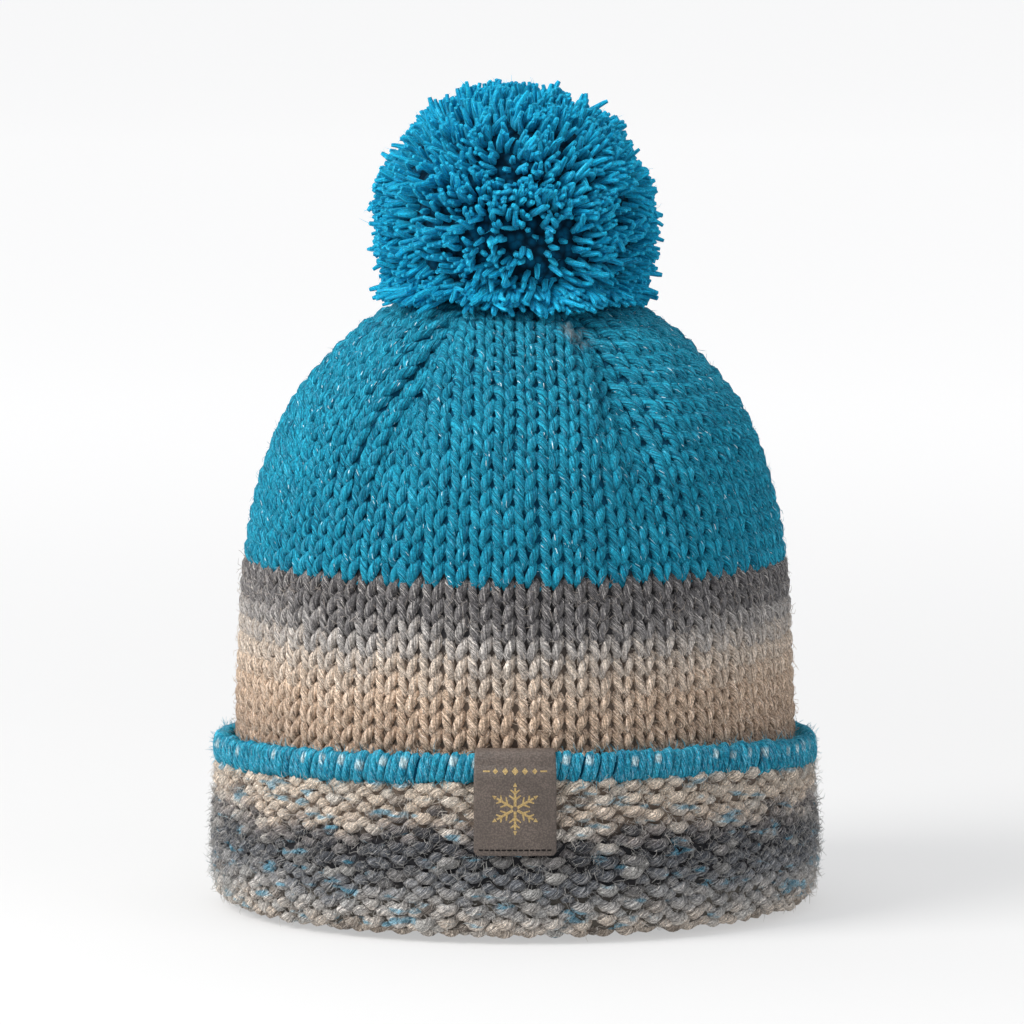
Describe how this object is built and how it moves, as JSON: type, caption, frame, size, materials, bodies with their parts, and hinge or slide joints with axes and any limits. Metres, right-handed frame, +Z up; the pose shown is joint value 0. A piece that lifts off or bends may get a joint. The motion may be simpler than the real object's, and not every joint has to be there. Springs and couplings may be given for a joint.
{
  "type": "knit toque with a turned-up cuff and pompom",
  "caption": "Soft knitted toque with a domed crown, a turned-up cuff with a rolled edging, a folded label and a yarn pompom. Worn on the head for warmth.",
  "frame": {"origin": "on the floor in the middle of the folded edge that the toque stands on", "axes": "+Z up through the crown to the pompom, front with the label towards -Y, wearer's left towards +X"},
  "size_m": [0.2036, 0.2047, 0.2766],
  "materials": {
    "crown_knit": "chunky knitted yarn with the smooth side out, teal blue, with fine silver flecks",
    "band_knit": "the same knit below the change of yarn, dark grey at the top and then beige down into the cuff",
    "cuff_knit": "reverse side of the knit in soft bands of beige, dark grey and pale beige with teal flecks, brushed and hairy",
    "edging_yarn": "bright blue yarn worked closely round the rolled edge, with silver flecks",
    "label_leather": "grey-brown grained leather with a gold foil mark and dark stitches",
    "pompom_yarn": "cut ends of plied teal-blue yarn",
    "tie_yarn": "doubled plied yarn, knotted"
  },
  "bodies": {
    "root": {"crown": "crown_knit", "crown_band": "band_knit", "cuff": "cuff_knit", "cuff_edging": "edging_yarn", "label": "label_leather", "pompom": "pompom_yarn", "pompom_tie": "tie_yarn"}
  },
  "joints": []
}
